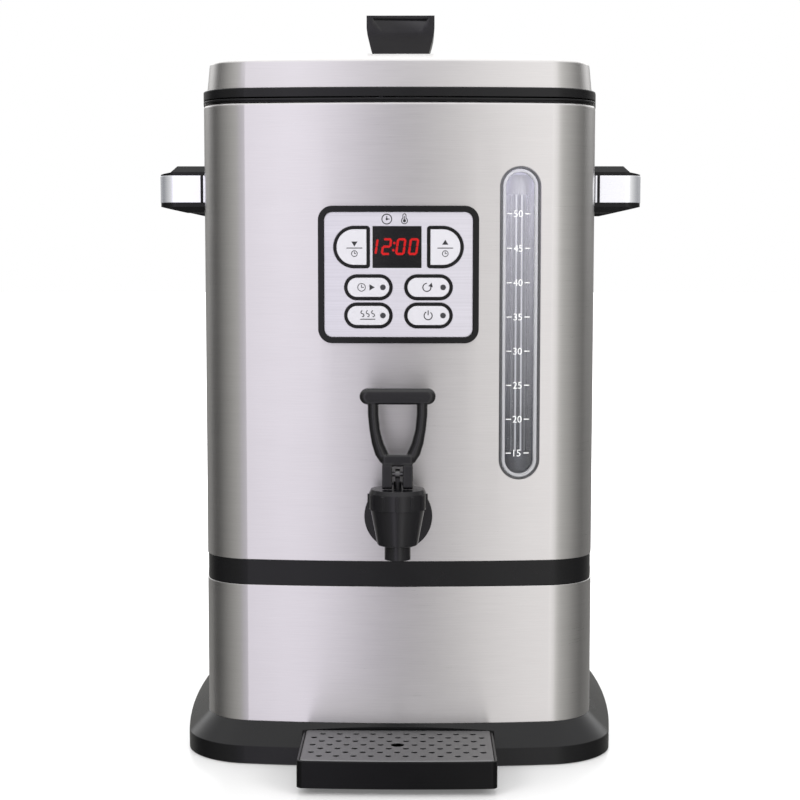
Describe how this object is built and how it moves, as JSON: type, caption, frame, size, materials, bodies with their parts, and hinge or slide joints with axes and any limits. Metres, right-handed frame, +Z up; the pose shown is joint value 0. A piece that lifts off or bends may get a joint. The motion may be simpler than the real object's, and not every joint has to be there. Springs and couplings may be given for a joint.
{
  "type": "coffee urn",
  "caption": "Squarish brushed-steel coffee urn with a lift-off lid, percolator, control panel, sight gauge, lever tap, side handles and a pull-out drip tray.",
  "frame": {"origin": "on the table, under the middle of the bounding box (the drip tray reaches forwards, so this lies 29 mm in front of the housing's own centre line)", "axes": "+Z up; -Y is the front with the tap and the control panel; +X to the right seen from the front"},
  "size_m": [0.3206, 0.344, 0.4807],
  "materials": {
    "shell_steel": "horizontally brushed",
    "lid_steel": "horizontally brushed",
    "tank_steel": "satin",
    "black_plastic": "fine satin grain",
    "tap_plastic": "satin",
    "panel_black": "semi-gloss",
    "panel_silver": "finely lined",
    "button_silver": "satin paint",
    "lens_dark": "smoked",
    "window_smoked": "gloss",
    "clear_plastic": "gloss",
    "glass": "gloss",
    "channel_grey": "satin",
    "trim_steel": "brushed",
    "fastener_steel": "plain",
    "pin_steel": "polished",
    "rubber": "matte",
    "silicone": "matte",
    "cast_aluminium": "as cast",
    "element_steel": "heat-darkened",
    "board_green": "solder mask",
    "base_steel": "galvanised",
    "grid_steel": "satin"
  },
  "bodies": {
    "housing": {"base_shell": "black_plastic", "base_plate": "base_steel", "feet": "rubber", "base_screws": "fastener_steel", "power_inlet": "black_plastic", "lower_skirt": "shell_steel", "mid_band": "black_plastic", "upper_shell": "shell_steel", "top_rim": "black_plastic", "tank": "tank_steel", "heater_plate": "cast_aluminium", "heater_element": "element_steel", "thermostat": "element_steel", "heater_stand": "base_steel", "handle_left": "black_plastic", "handle_right": "black_plastic", "trim_left": "trim_steel", "trim_right": "trim_steel", "handle_screws": "fastener_steel", "panel_bezel": "panel_black", "panel_plate": "panel_silver", "display_window": "window_smoked", "display_module": "panel_black", "control_board": "board_green", "gauge_cover": "clear_plastic", "gauge_channel": "channel_grey", "gauge_tube": "glass", "gauge_ports": "channel_grey", "tank_seals": "silicone", "tap_body": "tap_plastic", "escutcheon": "tap_plastic", "tap_nut": "tap_plastic", "tap_bonnet": "tap_plastic", "tap_spring": "fastener_steel"},
    "lid": {"lid_cover": "lid_steel", "lid_liner": "tank_steel", "lid_rim": "black_plastic", "lid_gasket": "silicone", "knob": "black_plastic", "knob_screw": "fastener_steel"},
    "percolator": {"pump_tube": "cast_aluminium", "basket": "cast_aluminium"},
    "spreader": {"spreader": "cast_aluminium"},
    "valve": {"tap_stem": "tap_plastic", "tap_cup": "silicone"},
    "lever": {"tap_lever": "tap_plastic", "tap_pin": "pin_steel"},
    "tray": {"tray_pan": "black_plastic"},
    "grid": {"tray_grid": "grid_steel"},
    "key_down": {"button_down": "button_silver"},
    "key_up": {"button_up": "button_silver"},
    "key_clock": {"button_clock": "button_silver", "lens_clock": "lens_dark"},
    "key_reheat": {"button_reheat": "button_silver", "lens_reheat": "lens_dark"},
    "key_warm": {"button_warm": "button_silver", "lens_warm": "lens_dark"},
    "key_power": {"button_power": "button_silver", "lens_power": "lens_dark"}
  },
  "joints": [
    {"name": "lid_lift", "type": "slide", "parent": "housing", "child": "lid", "axis": [0, 0, 1], "range_m": [0, 0.43]},
    {"name": "percolator_lift", "type": "slide", "parent": "housing", "child": "percolator", "axis": [0, 0, 1], "range_m": [0, 0.305]},
    {"name": "spreader_lift", "type": "slide", "parent": "percolator", "child": "spreader", "axis": [0, 0, 1], "range_m": [0, 0.045]},
    {"name": "valve_lift", "type": "slide", "parent": "housing", "child": "valve", "axis": [0, 0, 1], "range_m": [0, 0.00223], "stiffness_N_per_m": 3000, "springref_m": -0.004, "deforming": ["tap_spring"]},
    {"name": "lever_pull", "type": "hinge", "parent": "valve", "child": "lever", "pos_m": [0, -0.137, 0.1882], "axis": [1, 0, 0], "range_deg": [0, 32]},
    {"name": "tray_slide", "type": "slide", "parent": "housing", "child": "tray", "axis": [0, -1, 0], "range_m": [0, 0.1]},
    {"name": "grid_lift", "type": "slide", "parent": "tray", "child": "grid", "axis": [0, 0, 1], "range_m": [0, 0.03]},
    {"name": "press_down", "type": "slide", "parent": "housing", "child": "key_down", "axis": [0, 1, 0], "range_m": [0, 0.0006], "stiffness_N_per_m": 500, "springref_m": -0.0006},
    {"name": "press_up", "type": "slide", "parent": "housing", "child": "key_up", "axis": [0, 1, 0], "range_m": [0, 0.0006], "stiffness_N_per_m": 500, "springref_m": -0.0006},
    {"name": "press_clock", "type": "slide", "parent": "housing", "child": "key_clock", "axis": [0, 1, 0], "range_m": [0, 0.0006], "stiffness_N_per_m": 500, "springref_m": -0.0006},
    {"name": "press_reheat", "type": "slide", "parent": "housing", "child": "key_reheat", "axis": [0, 1, 0], "range_m": [0, 0.0006], "stiffness_N_per_m": 500, "springref_m": -0.0006},
    {"name": "press_warm", "type": "slide", "parent": "housing", "child": "key_warm", "axis": [0, 1, 0], "range_m": [0, 0.0006], "stiffness_N_per_m": 500, "springref_m": -0.0006},
    {"name": "press_power", "type": "slide", "parent": "housing", "child": "key_power", "axis": [0, 1, 0], "range_m": [0, 0.0006], "stiffness_N_per_m": 500, "springref_m": -0.0006}
  ],
  "couplings": [
    {"joint": "percolator_lift", "follows": "lid_lift", "ratio": 0.7},
    {"joint": "spreader_lift", "follows": "lid_lift", "ratio": 0.1},
    {"joint": "lever_pull", "follows": "valve_lift", "rad_per_m": 250}
  ]
}
